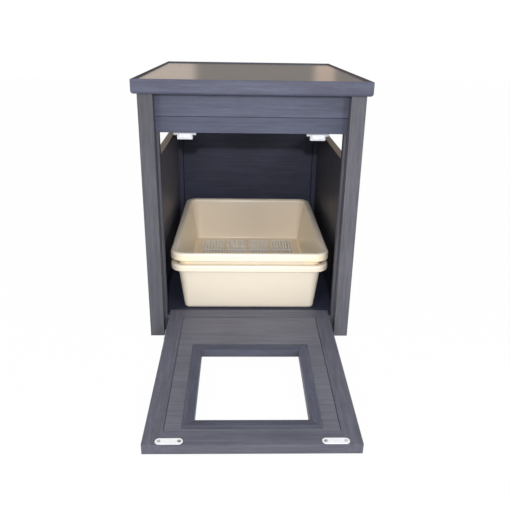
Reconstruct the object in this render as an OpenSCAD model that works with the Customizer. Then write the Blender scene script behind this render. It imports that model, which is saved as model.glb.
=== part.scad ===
// Litter box cabinet: a small end table whose front door folds down on two pins
// near its bottom edge, with a litter pan and a nested sifting tray inside.
// Millimetres. +Z is up and the door faces -Y. Every piece is drawn with its
// depth counted from the front of the front posts, and in_cabinet() then moves
// it so that the origin lies on the floor, in the middle of the part as it
// stands with the door open.

/* [Cabinet] */
// Width over the posts
body_w = 448; // [420:1:480]
// Depth over the posts
body_d = 590; // [570:1:630]
// Height of the posts, floor to the underside of the top
body_h = 533; // [526:1:570]
// Width of a post's front face
post_w = 30; // [26:1:36]
// Depth of a post
post_d = 44; // [42:1:52]
// How far the front rails and the jambs sit behind the posts' front faces
front_recess = 25; // [22:1:27]

/* [Rails and panels] */
// Height of the lower front rail
low_rail_h = 31.5; // [26:0.5:36]
// Depth of the lower front rail, which carries the catches
low_rail_d = 40; // [36:1:50]
// Depth of the upper front rail
up_rail_d = 20; // [18:1:30]
// Open joint between the two front rails
rail_joint = 1; // [0.5:0.5:2]
// Height of the rails at the top of the sides and the back
top_rail_h = 78; // [70:1:88]
// Thickness of the back rails
rail_t = 18; // [16:1:20]
// Height of the rails at the bottom of the sides and the back
base_rail_h = 54; // [48:1:60]
// Gap under the bottom rails
base_gap = 6; // [3:1:10]
// Thickness of the side panels and of the rails above and below them
side_t = 17; // [16:1:20]
// How far the side panels' outer faces lie in from the posts'
side_set = 1; // [0.5:0.5:4]
// Height of the open vent above each side panel
vent_h = 75; // [40:1:85]
// Thickness of the back panel
back_t = 12; // [8:1:14]
// Distance of the back panel's inner face from the cabinet's rear
back_inset = 26; // [22:1:30]
// Depth of the grooves that hold the back panel
back_groove = 8; // [5:1:9]
// Thickness of the back panel's tongue
back_tongue_t = 6; // [4:0.5:7]
// Clearance on each side of a panel's edge in its groove
groove_clear = 0.2; // [0.1:0.1:0.4]
// Thickness of the floor panel
floor_t = 12; // [10:1:16]
// Width of the battens under the floor panel
batten_w = 16; // [12:1:22]
// Height of the battens under the floor panel
batten_h = 12; // [8:1:14]
// Clearance between the swinging door's lower edge and the floor panel
floor_clear = 1.5; // [1:0.5:3]
// How far the jambs stand in from the posts
jamb_t = 5.5; // [5:0.5:9]
// Gap under the jambs
jamb_lift = 1; // [0.5:0.5:6]

/* [Top] */
// Thickness of the top
top_t = 28; // [26:1:36]
// Overhang of the top past the posts, all round
top_overhang = 10; // [6:1:20]
// Width of the edge bars around the top
edge_w = 24; // [20:1:28]
// Width of the lip around the inset panel
lip_w = 4; // [3:0.5:9]
// Thickness of the inset panel
inset_t = 4; // [3:0.5:6]
// How far the inset panel lies below the lip
inset_drop = 3; // [1:0.5:4]
// Clearance around the inset panel
inset_clear = 0.5; // [0.3:0.1:1]
// Radius of the lower outer edge of the top
edge_low_r = 6; // [3:0.5:9]
// Radius of the upper outer edge of the top
edge_up_r = 2; // [1:0.5:3]

/* [Door] */
// Thickness of the door's frame
door_t = 20; // [18:1:22]
// Gap between the door and the jamb on each side
door_gap = 5.5; // [3:0.5:6]
// Gap between the closed door and the lower front rail
door_head_gap = 2; // [1.5:0.5:4]
// Width of the door's stiles and rails
door_frame_w = 32; // [31:1:38]
// Height of the pivot above the floor
pivot_z = 31; // [28:1:34]
// How far the door reaches past its pivot, at its hinge end
door_tail = 14; // [12:0.5:15]
// How far the closed door stands proud of the front rails
door_proud = 2; // [1:0.5:3]
// Thickness of the door's panel
panel_t = 12; // [10:1:14]
// How far the panel's inner face lies below the frame's
panel_drop = 1; // [0.5:0.5:2]
// Gap around the panel's face
panel_gap = 0.6; // [0.4:0.2:1.2]
// Thickness of the panel's tongue
tongue_t = 6; // [4:0.5:7]
// Length of the panel's tongue
tongue_l = 8; // [5:1:10]

/* [Window] */
// Length of the clear window
window_l = 213; // [190:1:220]
// Distance of the window's moulding from the door's rail at the free end
trim_set = 7; // [4:1:14]
// Distance of the window's moulding from the door's stiles
trim_side_set = 30.5; // [22:0.5:40]
// Width of the moulding's face around the window
trim_w = 20; // [17:1:22]
// Height of the moulding's crown above the panel
trim_h = 3.5; // [3:0.5:6]
// Height of the moulding's outer edge above the panel
trim_outer_h = 1.5; // [1:0.25:3]
// Height of the moulding at the window above the panel
trim_inner_h = 1.5; // [1:0.25:3]
// Distance of the moulding's crown from its outer edge
crown_set = 4.5; // [1.5:0.1:6]
// Width of the moulding's crown
crown_w = 4; // [1.5:0.1:6]
// Thickness of the moulding's lining inside the window
lining_t = 3; // [2:0.5:5]
// How far the lining stands out of the panel's outer face
lining_out = 4.5; // [0:0.5:6]

/* [Hinge] */
// Radius of a hinge pin
pin_r = 3; // [2:0.25:3.5]
// Length of a hinge pin inside the door
pin_hold = 16; // [12:1:18]
// Running clearance of a pin in its bush, on the radius
pin_run = 0.05; // [0.02:0.01:0.1]
// Fitting clearance of a pin in the door, on the radius
pin_fit = 0.02; // [0.01:0.01:0.05]
// Distance of a pin's outer end from the post
pin_end_gap = 0.5; // [0.3:0.1:1.5]
// Fitting clearance of a bush in the jamb, on the radius
bush_fit = 0.05; // [0.02:0.01:0.1]
// Wall of a bush
bush_wall = 1.5; // [1:0.25:2]
// Radius of a bush's flange
bush_flange_r = 6; // [6:0.5:8]
// Thickness of a bush's flange
bush_flange_t = 2.2; // [1:0.2:2.6]

/* [Catches] */
// Distance of each catch's middle from the door's edge
catch_set = 45; // [36:0.5:56]
// Length of a catch's body
catch_body_l = 32; // [28:1:34]
// Length of a catch over its flange
catch_l = 47; // [44:1:54]
// Height of a catch
catch_h = 17.5; // [17:0.5:20]
// Depth of a catch
catch_d = 18; // [16:1:19]
// Thickness of a catch's flange
catch_flange_t = 8; // [3:0.5:8]
// Gap between the catch's poles and the strike plate
catch_air = 0.4; // [0.2:0.1:0.8]
// Length of the magnet
magnet_l = 24; // [18:1:25]
// Thickness of the magnet
magnet_h = 5; // [4:0.5:6]
// Depth of the magnet
magnet_d = 11; // [8:1:13]
// Thickness of a pole plate
pole_t = 1.5; // [1:0.25:2]
// How far the poles stand out of the catch's body
pole_out = 0.6; // [0.3:0.1:1]
// Length of a strike plate
strike_l = 46; // [44:1:54]
// Width of a strike plate
strike_w = 13.5; // [12:0.5:16]
// Thickness of a strike plate
strike_t = 1.5; // [1:0.25:2]
// Distance of a strike plate's middle from the door's free end
strike_set = 7; // [7:0.5:12]

/* [Screws and dowels] */
// Radius of a screw's shank
screw_r = 1.75; // [1.5:0.05:2]
// Radius of a screw's head
screw_head_r = 3.2; // [2.6:0.1:3.4]
// Height of a pan head
screw_head_h = 1.6; // [1.2:0.1:2]
// Length of a screw's shank past what it holds
screw_bite = 12; // [8:1:14]
// Distance between a strike plate's screws
strike_screws_x = 34; // [30:1:36]
// Distance between a catch's screws
catch_screws_x = 39; // [38.8:0.1:39.6]
// Clearance of a screw in its hole, on the radius
screw_fit = 0.05; // [0.02:0.01:0.1]
// Radius of a dowel
dowel_r = 4; // [3:0.5:4]
// Length of a dowel
dowel_l = 30; // [24:1:30]
// Radius of a dowel in the door
door_dowel_r = 3; // [2:0.5:3.5]
// Length of a dowel in the door
door_dowel_l = 24; // [18:1:25]
// Distance of the door's dowels from the panel's edge
door_dowel_set = 13; // [12:0.5:15]
// Distance of a front rail's dowels from its upper or lower edge
rail_dowel_set = 10; // [9:0.5:11]
// Distance of a side panel's dowels from its upper and lower edges
panel_dowel_set = 60; // [40:1:90]
// Clearance of a dowel, on the radius and at each end
dowel_fit = 0.05; // [0.02:0.01:0.1]

/* [Trays] */
// Clearance between a tray's rim and the jambs
tray_side_gap = 6.5; // [5:0.5:16]
// Depth of a tray over its rim
tray_d = 455; // [430:1:470]
// Distance of the rims from the front of the posts
tray_front = 51; // [50.5:0.5:60]
// Height of a tray
tray_h = 121; // [110:0.5:130]
// Width of the rim's flange
rim_w = 13; // [12:1:20]
// Height of the pan's skirt
pan_skirt_h = 15; // [12:0.5:20]
// Height of the sifting tray's skirt
sift_skirt_h = 18; // [12:0.5:24]
// Corner radius of the rim
rim_r = 34; // [30:1:45]
// Corner radius of the walls at the rim
wall_r = 27; // [27:1:36]
// Lean of a tray's walls, as inward travel for each unit of depth
wall_lean = 0.128; // [0.1:0.002:0.13]
// Radius of a tray's bottom edge
bottom_r = 9; // [6:0.5:12]
// Wall thickness of the trays
tray_wall = 2.2; // [1.6:0.1:2.4]
// How far the sifting tray stands above the pan
nest_lift = 29; // [27:0.5:34]
// Width of a stacking lug
lug_w = 20; // [12:1:30]
// Distance of the stacking lugs from the tray's middle
lug_y = 120; // [80:1:130]
// Clearance of a lug from the skirt
lug_clear = 2; // [1:0.5:4]

/* [Sifting slots] */
// Groups of slots across the floor
slot_groups = 4; // [2:1:4]
// Distance between the groups' middles
group_pitch = 66; // [62:1:68]
// Slots in each group
group_slots = 7; // [4:1:7]
// Distance between neighbouring slots
slot_pitch = 8.5; // [6:0.1:8.6]
// Width of a slot
slot_w = 3.8; // [2:0.1:4.2]
// Rows of slots from front to rear
slot_rows = 5; // [3:1:5]
// Distance between the rows
row_pitch = 74; // [70:1:75]
// Length of a slot
slot_l = 68; // [40:1:68]

/* [Hidden] */
$fn = 64;
HULL_FN = 32;
// Overshoot of cutting tools and thickness of the plates that hull() joins
eps = 0.01;
cut = 1;

// Colours
BOARD = [0.36, 0.37, 0.41];
BOARD_DARK = [0.30, 0.31, 0.35];
GLOSS = [0.42, 0.41, 0.40];
PLASTIC = [0.90, 0.85, 0.76];
WHITE = [0.93, 0.93, 0.92];
STEEL = [0.74, 0.75, 0.77];
IRON = [0.25, 0.25, 0.27];
WOOD = [0.80, 0.68, 0.50];

// Cabinet frame
post_x = body_w / 2 - post_w;
rear_y = body_d - post_d;
jamb_x = post_x - jamb_t;
side_x = body_w / 2 - side_set - side_t;
door_opening_z = body_h - top_rail_h;
up_rail_z = door_opening_z + low_rail_h + rail_joint;
base_top_z = base_gap + base_rail_h;
side_top_z = door_opening_z - vent_h;
back_y = body_d - back_inset;
back_tongue_y = back_y + (back_t - back_tongue_t) / 2;

// Top
top_x = body_w / 2 + top_overhang;
core_h = top_t - inset_drop - inset_t;

// Door, in its own frame: x across, y through the thickness with the inner
// face at +door_t / 2, and z along the door from the pivot to the free end
door_x = jamb_x - door_gap;
inner = door_t / 2;
pivot_y = front_recess - door_proud + inner;
door_reach = door_opening_z - door_head_gap - pivot_z;
swing_r = norm([door_tail, inner]);
slope = asin(pivot_z / norm([door_reach, inner])) - atan2(inner, door_reach);
open_turn = 90 + slope;
panel_in = inner - panel_drop;
panel_x = door_x - door_frame_w;
panel_z0 = door_frame_w - door_tail;
panel_z1 = door_reach - door_frame_w;
window_z1 = panel_z1 - trim_set - trim_w;
window_z0 = window_z1 - window_l;
window_w = 2 * (panel_x - trim_side_set - trim_w);
lining_h = panel_t + lining_out;

// Floor panel
floor_top_z = base_gap + batten_h + floor_t;
floor_front_y = pivot_y + swing_r + floor_clear;

// Middle of the whole part from front to rear, with the door open
near_y = pivot_y - door_reach * cos(slope) - inner * sin(slope);
mid_y = (near_y + body_d + top_overhang) / 2;

// Hinge
bush_r = pin_r + pin_run + bush_wall;

// Catches and strikes
catch_x = door_x - catch_set;
strike_z = door_reach - strike_set;
catch_z = door_opening_z - catch_h;
strike_face_y = pivot_y + inner + strike_t;
catch_y = strike_face_y + catch_air + pole_out;
magnet_z = pivot_z + strike_z;

// Trays
tray_w = 2 * (jamb_x - tray_side_gap);
body_top_w = tray_w - 2 * rim_w;
body_top_d = tray_d - 2 * rim_w;
tray_mid_y = tray_front + tray_d / 2;

// ---- placing ----------------------------------------------------------------

// Moves a piece from the cabinet's own depth scale into the part's frame
module in_cabinet() {
    translate([0, -mid_y, 0]) children();
}

// Moves a piece from the door's frame to the open door
module on_door() {
    in_cabinet() translate([0, pivot_y, pivot_z]) rotate([open_turn, 0, 0]) children();
}

// Draws its children on the side that s names: -1 left, 1 right
module on_side(s) {
    mirror([s < 0 ? 1 : 0, 0, 0]) children();
}

// A box between two corners
module box(low, high) {
    translate(low) cube(high - low);
}

// ---- dowels -----------------------------------------------------------------

// A cylinder along x, y or z, centred on a point
module rod(at, along, r, l) {
    turn = along == "x" ? [0, 90, 0] : along == "y" ? [90, 0, 0] : [0, 0, 0];
    translate(at) rotate(turn) cylinder(r = r, h = l, center = true);
}

// Heights of the dowels in the front rails, and of those in the top rails of the
// sides and the back, which pass between them inside the posts
front_dowel_z = [
    door_opening_z + low_rail_h / 2, up_rail_z + rail_dowel_set, body_h - rail_dowel_set
];
top_dowel_z = [for (i = [0, 1]) (front_dowel_z[i] + front_dowel_z[i + 1]) / 2];
side_dowel_x = side_x + side_t / 2;
top_dowel_x = (post_x + top_x - edge_w) / 2;
front_dowel_y = front_recess + up_rail_d / 2;
back_dowel_y = back_y + rail_t / 2;
base_dowel_z = base_gap + base_rail_h / 2;
panel_dowel_z = [base_top_z + panel_dowel_set, side_top_z - panel_dowel_set];

// Every dowel on the right-hand side: where it crosses its joint, and its axis
DOWELS = concat(
    [for (z = front_dowel_z) [[post_x, front_dowel_y, z], "x"]],
    [for (y = [post_d, rear_y], z = top_dowel_z) [[side_dowel_x, y, z], "y"]],
    [for (y = [post_d, rear_y], z = concat(panel_dowel_z, [base_dowel_z]))
        [[side_dowel_x, y, z], "y"]],
    [for (z = concat(top_dowel_z, [base_dowel_z])) [[post_x, back_dowel_y, z], "x"]],
    [for (y = [post_d / 2, body_d - post_d / 2]) [[top_dowel_x, y, body_h], "z"]]
);

module dowels(r, l) {
    for (s = [-1, 1]) on_side(s) for (d = DOWELS) rod(d[0], d[1], r, l);
}

module frame_dowels() {
    color(WOOD) in_cabinet() dowels(dowel_r - dowel_fit, dowel_l - 2 * dowel_fit);
}

// The door's dowels, one where each stile meets each rail
module door_dowel_rods(r, l) {
    for (s = [-1, 1], z = [panel_z0 - door_dowel_set, panel_z1 + door_dowel_set])
        on_side(s) rod([panel_x, 0, z], "x", r, l);
}

module door_dowels() {
    color(WOOD) on_door() door_dowel_rods(door_dowel_r - dowel_fit, door_dowel_l - 2 * dowel_fit);
}

// A piece of the frame with its dowel holes
module dowelled() {
    difference() {
        children();
        dowels(dowel_r, dowel_l);
    }
}

// ---- posts ------------------------------------------------------------------

module post(s, y) {
    color(BOARD) in_cabinet() dowelled() on_side(s)
        box([post_x, y, 0], [body_w / 2, y + post_d, body_h]);
}

module post_front_left() { post(-1, 0); }
module post_front_right() { post(1, 0); }

// A rear post is also grooved for the back panel
module post_rear(s) {
    difference() {
        post(s, rear_y);
        in_cabinet() back_groove_tool();
    }
}

module post_rear_left() { post_rear(-1); }
module post_rear_right() { post_rear(1); }

// ---- rails ------------------------------------------------------------------

module front_rail_upper() {
    color(BOARD) in_cabinet() dowelled()
        box([-post_x, front_recess, up_rail_z], [post_x, front_recess + up_rail_d, body_h]);
}

module front_rail_lower() {
    color(BOARD) in_cabinet() difference() {
        dowelled() box(
            [-post_x, front_recess, door_opening_z],
            [post_x, front_recess + low_rail_d, door_opening_z + low_rail_h]
        );
        catch_screw_places() screw_hole(screw_bite);
    }
}

module side_rail_top(s) {
    color(BOARD_DARK) in_cabinet() dowelled() on_side(s)
        box([side_x, post_d, door_opening_z], [side_x + side_t, rear_y, body_h]);
}

module side_rail_top_left() { side_rail_top(-1); }
module side_rail_top_right() { side_rail_top(1); }

module side_rail_base(s) {
    color(BOARD_DARK) in_cabinet() dowelled() on_side(s)
        box([side_x, post_d, base_gap], [side_x + side_t, rear_y, base_top_z]);
}

module side_rail_base_left() { side_rail_base(-1); }
module side_rail_base_right() { side_rail_base(1); }

module back_rail(z0, z1) {
    color(BOARD_DARK) in_cabinet() difference() {
        dowelled() box([-post_x, back_y, z0], [post_x, back_y + rail_t, z1]);
        back_groove_tool();
    }
}

module back_rail_top() { back_rail(door_opening_z, body_h); }
module back_rail_base() { back_rail(base_gap, base_top_z); }

// ---- panels -----------------------------------------------------------------

module side_panel(s) {
    color(BOARD_DARK) in_cabinet() dowelled() on_side(s)
        box([side_x, post_d, base_top_z], [side_x + side_t, rear_y, side_top_z]);
}

module side_panel_left() { side_panel(-1); }
module side_panel_right() { side_panel(1); }

// The back panel's edge, thinned to a tongue in the middle of its thickness
module back_panel_tongue(clear, deep) {
    box(
        [-post_x - deep, back_tongue_y - clear, base_top_z - deep],
        [post_x + deep, back_tongue_y + back_tongue_t + clear, door_opening_z + deep]
    );
}

module back_groove_tool() {
    back_panel_tongue(groove_clear, back_groove);
}

module back_panel() {
    color(BOARD_DARK) in_cabinet() {
        box([-post_x, back_y, base_top_z], [post_x, back_y + back_t, door_opening_z]);
        back_panel_tongue(0, back_groove - groove_clear);
    }
}

// It reaches the side panels, and between the rear posts the back panel
module floor_panel() {
    color(BOARD_DARK) in_cabinet() for (end = [[side_x, rear_y], [post_x, back_y]])
        box([-end.x, floor_front_y, floor_top_z - floor_t], [end.x, end.y, floor_top_z]);
}

module floor_batten_side(s) {
    color(BOARD_DARK) in_cabinet() on_side(s)
        box([side_x - batten_w, floor_front_y, base_gap], [side_x, rear_y, floor_top_z - floor_t]);
}

module floor_batten_left() { floor_batten_side(-1); }
module floor_batten_right() { floor_batten_side(1); }

module floor_batten_front() {
    end_x = side_x - batten_w;
    color(BOARD_DARK) in_cabinet() box(
        [-end_x, floor_front_y, base_gap],
        [end_x, floor_front_y + batten_w, floor_top_z - floor_t]
    );
}

// A jamb lines the post beside the door and holds the hinge bush
module jamb(s) {
    color(BOARD) in_cabinet() difference() {
        on_side(s) box([jamb_x, front_recess, jamb_lift], [post_x, post_d, door_opening_z]);
        on_side(s) rod(
            [(jamb_x + post_x) / 2, pivot_y, pivot_z], "x", bush_r + bush_fit, jamb_t + 2 * cut
        );
    }
}

module jamb_left() { jamb(-1); }
module jamb_right() { jamb(1); }

// ---- top --------------------------------------------------------------------

module top_core() {
    color(BOARD_DARK) in_cabinet() dowelled() box(
        [-top_x + edge_w, edge_w - top_overhang, body_h],
        [top_x - edge_w, body_d + top_overhang - edge_w, body_h + core_h]
    );
}

module top_inset() {
    side = lip_w + inset_clear;
    color(GLOSS) in_cabinet() box(
        [-top_x + side, side - top_overhang, body_h + core_h],
        [top_x - side, body_d + top_overhang - side, body_h + core_h + inset_t]
    );
}

// What rounding an edge of radius r takes off the corner at the origin
module corner_cut(r) {
    difference() {
        translate([-cut, -cut]) square(r + cut);
        translate([r, r]) circle(r);
    }
}

// Cross-section of an edge bar: outer face at x = 0, underside at y = 0
module edge_profile() {
    difference() {
        union() {
            square([edge_w, core_h]);
            square([lip_w, top_t]);
        }
        corner_cut(edge_low_r);
        translate([0, top_t]) mirror([0, 1]) corner_cut(edge_up_r);
    }
}

// A bar along x with its outer face at y = 0, mitred at both ends. Its
// cross-section is the child, and reaches w inward and from z0 to z1.
module mitred_bar(l, w, z0, z1) {
    intersection() {
        rotate([90, 0, 90]) linear_extrude(l, center = true) children();
        translate([0, 0, z0 - cut]) linear_extrude(z1 - z0 + 2 * cut)
            polygon([[-l / 2, 0], [l / 2, 0], [l / 2 - w, w], [w - l / 2, w]]);
    }
}

// Edge bar of a given length, turned by a and standing off from the middle
module top_edge(a, l, off) {
    middle_y = body_d / 2;
    color(BOARD) in_cabinet() translate([0, middle_y, body_h]) rotate([0, 0, a])
        translate([0, -off, 0]) mitred_bar(l, edge_w, 0, top_t) edge_profile();
}

top_l = body_d + 2 * top_overhang;
module top_edge_front() { top_edge(0, 2 * top_x, top_l / 2); }
module top_edge_rear() { top_edge(180, 2 * top_x, top_l / 2); }
module top_edge_left() { top_edge(-90, top_l, top_x); }
module top_edge_right() { top_edge(90, top_l, top_x); }

// ---- door -------------------------------------------------------------------

// The panel's tongue runs in a groove in the middle of the frame's thickness
module door_tongue(clear, deep) {
    box(
        [-panel_x - deep, -tongue_t / 2 - clear, panel_z0 - deep],
        [panel_x + deep, tongue_t / 2 + clear, panel_z1 + deep]
    );
}

// Takes what the frame pieces share out of a stile or rail: the groove, and the
// holes for the dowels, the strike plates' screws and the pins
module door_frame_piece() {
    color(BOARD) on_door() difference() {
        children();
        door_tongue(groove_clear, tongue_l + groove_clear);
        door_dowel_rods(door_dowel_r, door_dowel_l);
        strike_screw_places() screw_hole(screw_bite);
        for (s = [-1, 1]) on_side(s)
            pivot_rod(door_x - pin_hold, door_x + cut, pin_r + pin_fit);
    }
}

// A cylinder along x between two places, on the pivot's axis
module pivot_rod(x0, x1, r) {
    rod([(x0 + x1) / 2, 0, 0], "x", r, x1 - x0);
}

module door_stile(s) {
    door_frame_piece() on_side(s)
        box([panel_x, -door_t / 2, -door_tail], [door_x, inner, door_reach]);
}

module door_stile_left() { door_stile(-1); }
module door_stile_right() { door_stile(1); }

module door_rail(z0) {
    door_frame_piece()
        box([-panel_x, -door_t / 2, z0], [panel_x, inner, z0 + door_frame_w]);
}

module door_rail_free() { door_rail(panel_z1); }
module door_rail_hinge() { door_rail(-door_tail); }

module door_panel() {
    hole_x = window_w / 2 + lining_t;
    color(BOARD) on_door() difference() {
        union() {
            door_tongue(0, tongue_l);
            box(
                [panel_gap - panel_x, panel_in - panel_t, panel_z0 + panel_gap],
                [panel_x - panel_gap, panel_in, panel_z1 - panel_gap]
            );
        }
        box(
            [-hole_x, -door_t, window_z0 - lining_t],
            [hole_x, door_t, window_z1 + lining_t]
        );
    }
}

// Cross-section of the window's moulding, measured inward from its outer edge
// and up from the panel's face: a sloping face, and a lining through the panel
module trim_profile() {
    polygon([
        [0, 0], [0, trim_outer_h], [crown_set, trim_h], [crown_set + crown_w, trim_h],
        [trim_w, trim_inner_h], [trim_w, -lining_h],
        [trim_w - lining_t, -lining_h], [trim_w - lining_t, 0],
    ]);
}

// Moulding along one side of the window, turned by a about its middle
module window_trim(a, l, off) {
    middle_z = (window_z0 + window_z1) / 2;
    color(BOARD) on_door() translate([0, panel_in, middle_z]) rotate([-90, 0, 0])
        rotate([0, 0, a]) translate([0, -off - trim_w, 0])
            mitred_bar(l + 2 * trim_w, trim_w, -lining_h, trim_h) trim_profile();
}

module window_trim_free() { window_trim(0, window_w, window_l / 2); }
module window_trim_hinge() { window_trim(180, window_w, window_l / 2); }
module window_trim_left() { window_trim(-90, window_l, window_w / 2); }
module window_trim_right() { window_trim(90, window_l, window_w / 2); }

// ---- hinge ------------------------------------------------------------------

module hinge_pin(s) {
    color(STEEL) on_door() on_side(s)
        pivot_rod(door_x - pin_hold, post_x - pin_end_gap, pin_r);
}

module hinge_pin_left() { hinge_pin(-1); }
module hinge_pin_right() { hinge_pin(1); }

// A flanged bush in the jamb: its flange keeps the door in the middle
module hinge_bush(s) {
    color(WHITE) in_cabinet() on_side(s)
        translate([jamb_x, pivot_y, pivot_z]) rotate([0, 90, 0]) difference() {
            union() {
                cylinder(r = bush_r, h = jamb_t);
                translate([0, 0, -bush_flange_t]) cylinder(r = bush_flange_r, h = bush_flange_t);
            }
            translate([0, 0, -bush_flange_t - cut])
                cylinder(r = pin_r + pin_run, h = jamb_t + bush_flange_t + 2 * cut);
        }
}

module hinge_bush_left() { hinge_bush(-1); }
module hinge_bush_right() { hinge_bush(1); }

// ---- screws -----------------------------------------------------------------

// A hole for a shank, down from z = 0
module screw_hole(deep) {
    translate([0, 0, -deep - screw_fit])
        cylinder(r = screw_r + screw_fit, h = deep + screw_fit + cut);
}

// Puts its child at each of a strike plate's screws, with +z out of the door
module strike_screw_places() {
    for (s = [-1, 1], t = [-1, 1])
        translate([s * catch_x + t * strike_screws_x / 2, inner, strike_z])
            rotate([-90, 0, 0]) children();
}

// Puts its child at each of a catch's screws, with +z down out of the rail
module catch_screw_places() {
    for (s = [-1, 1], t = [-1, 1])
        translate([s * catch_x + t * catch_screws_x / 2, catch_y + catch_d / 2, door_opening_z])
            rotate([180, 0, 0]) children();
}

// A countersunk head of the strike plate's thickness
module strike_head(grow) {
    cylinder(r1 = screw_r + grow, r2 = screw_head_r + grow, h = strike_t);
}

module strike_screws() {
    color(STEEL) on_door() strike_screw_places() {
        translate([0, 0, -screw_bite]) cylinder(r = screw_r, h = screw_bite);
        strike_head(0);
    }
}

module catch_screws() {
    color(STEEL) in_cabinet() catch_screw_places() {
        translate([0, 0, -screw_bite]) cylinder(r = screw_r, h = screw_bite + catch_flange_t);
        translate([0, 0, catch_flange_t]) cylinder(r = screw_head_r, h = screw_head_h);
    }
}

// ---- catches ----------------------------------------------------------------

// A plate with round ends
module strike_plate(s) {
    end_x = (strike_l - strike_w) / 2;
    color(STEEL) on_door() difference() {
        translate([s * catch_x, inner, strike_z]) rotate([-90, 0, 0]) union() {
            for (t = [-1, 1]) translate([t * end_x, 0, 0]) cylinder(d = strike_w, h = strike_t);
            translate([-end_x, -strike_w / 2, 0]) cube([2 * end_x, strike_w, strike_t]);
        }
        strike_screw_places() strike_head(screw_fit);
    }
}

module strike_plate_left() { strike_plate(-1); }
module strike_plate_right() { strike_plate(1); }

// Puts its child at the middle of a magnet's front, with y to the rear
module magnet_place(s) {
    translate([s * catch_x, catch_y - pole_out, magnet_z]) children();
}

module catch_body(s) {
    pocket_h = magnet_h + 2 * pole_t;
    flange_z = door_opening_z - catch_flange_t;
    color(WHITE) in_cabinet() difference() {
        union() {
            box(
                [s * catch_x - catch_body_l / 2, catch_y, catch_z],
                [s * catch_x + catch_body_l / 2, catch_y + catch_d, door_opening_z]
            );
            box(
                [s * catch_x - catch_l / 2, catch_y, flange_z],
                [s * catch_x + catch_l / 2, catch_y + catch_d, door_opening_z]
            );
        }
        magnet_place(s) translate([-magnet_l / 2, 0, -pocket_h / 2])
            cube([magnet_l, magnet_d, pocket_h]);
        catch_screw_places() translate([0, 0, -cut])
            cylinder(r = screw_r + screw_fit, h = catch_flange_t + 2 * cut);
    }
}

module catch_body_left() { catch_body(-1); }
module catch_body_right() { catch_body(1); }

module catch_magnets() {
    color(IRON) in_cabinet() for (s = [-1, 1]) magnet_place(s)
        translate([-magnet_l / 2, pole_out, -magnet_h / 2])
            cube([magnet_l, magnet_d - pole_out, magnet_h]);
}

module catch_poles() {
    color(STEEL) in_cabinet() for (s = [-1, 1], t = [0, 1]) magnet_place(s)
        mirror([0, 0, t]) translate([-magnet_l / 2, 0, magnet_h / 2])
            cube([magnet_l, magnet_d, pole_t]);
}

// ---- trays ------------------------------------------------------------------

// A thin plate with round corners, at height z, for hull()
module layer(w, d, r, z, h = eps) {
    for (x = [-1, 1], y = [-1, 1])
        translate([x * (w / 2 - r), y * (d / 2 - r), z]) cylinder(r = r, h = h, $fn = HULL_FN);
}

// The outside of a tray's body, made smaller all round by t and cut off at z = t:
// walls that lean inward, a rounded bottom edge and an open top at z = top
module tray_solid(t, top) {
    lean = function(z) wall_lean * (tray_h - z);
    round_r = bottom_r - t;
    hull() {
        for (a = [0 : 22.5 : 90]) {
            z = bottom_r - round_r * cos(a);
            inward = lean(z) + t + round_r * (1 - sin(a));
            layer(
                body_top_w - 2 * inward, body_top_d - 2 * inward, max(wall_r - inward, eps), z
            );
        }
        layer(body_top_w - 2 * t, body_top_d - 2 * t, wall_r - t, top - eps);
    }
}

// An exact plate with round corners
module round_plate(w, d, r, h) {
    linear_extrude(h) union() {
        square([w - 2 * r, d], center = true);
        square([w, d - 2 * r], center = true);
        for (x = [-1, 1], y = [-1, 1]) translate([x * (w / 2 - r), y * (d / 2 - r)]) circle(r);
    }
}

// A tray standing on z = 0: body, flange and the skirt that hangs from it
module tray(skirt_h) {
    difference() {
        union() {
            tray_solid(0, tray_h);
            translate([0, 0, tray_h - tray_wall]) round_plate(tray_w, tray_d, rim_r, tray_wall);
            difference() {
                translate([0, 0, tray_h - skirt_h]) round_plate(tray_w, tray_d, rim_r, skirt_h);
                translate([0, 0, tray_h - skirt_h - cut]) round_plate(
                    tray_w - 2 * tray_wall, tray_d - 2 * tray_wall, rim_r - tray_wall, skirt_h + cut
                );
            }
        }
        tray_solid(tray_wall, tray_h + cut);
    }
}

module in_tray(z) {
    in_cabinet() translate([0, tray_mid_y, floor_top_z + z]) children();
}

module litter_pan() {
    color(PLASTIC) in_tray(0) tray(pan_skirt_h);
}

// Blocks under the sifting tray's flange that stand on the pan's flange
module stacking_lugs() {
    foot_z = tray_h - nest_lift;
    for (s = [-1, 1], y = [-lug_y, lug_y]) on_side(s) box(
        [body_top_w / 2 - wall_lean * nest_lift / 2, y - lug_w / 2, foot_z],
        [tray_w / 2 - tray_wall - lug_clear, y + lug_w / 2, tray_h - tray_wall]
    );
}

module sifting_slots() {
    for (g = [0 : slot_groups - 1], i = [0 : group_slots - 1], j = [0 : slot_rows - 1]) {
        x = (g - (slot_groups - 1) / 2) * group_pitch + (i - (group_slots - 1) / 2) * slot_pitch;
        y = (j - (slot_rows - 1) / 2) * row_pitch;
        translate([x, y, 0]) cube([slot_w, slot_l, 2 * (tray_wall + cut)], center = true);
    }
}

module sifting_tray() {
    color(PLASTIC) in_tray(nest_lift) difference() {
        union() {
            tray(sift_skirt_h);
            stacking_lugs();
        }
        sifting_slots();
    }
}

// ---- which piece to draw ----------------------------------------------------

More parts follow.
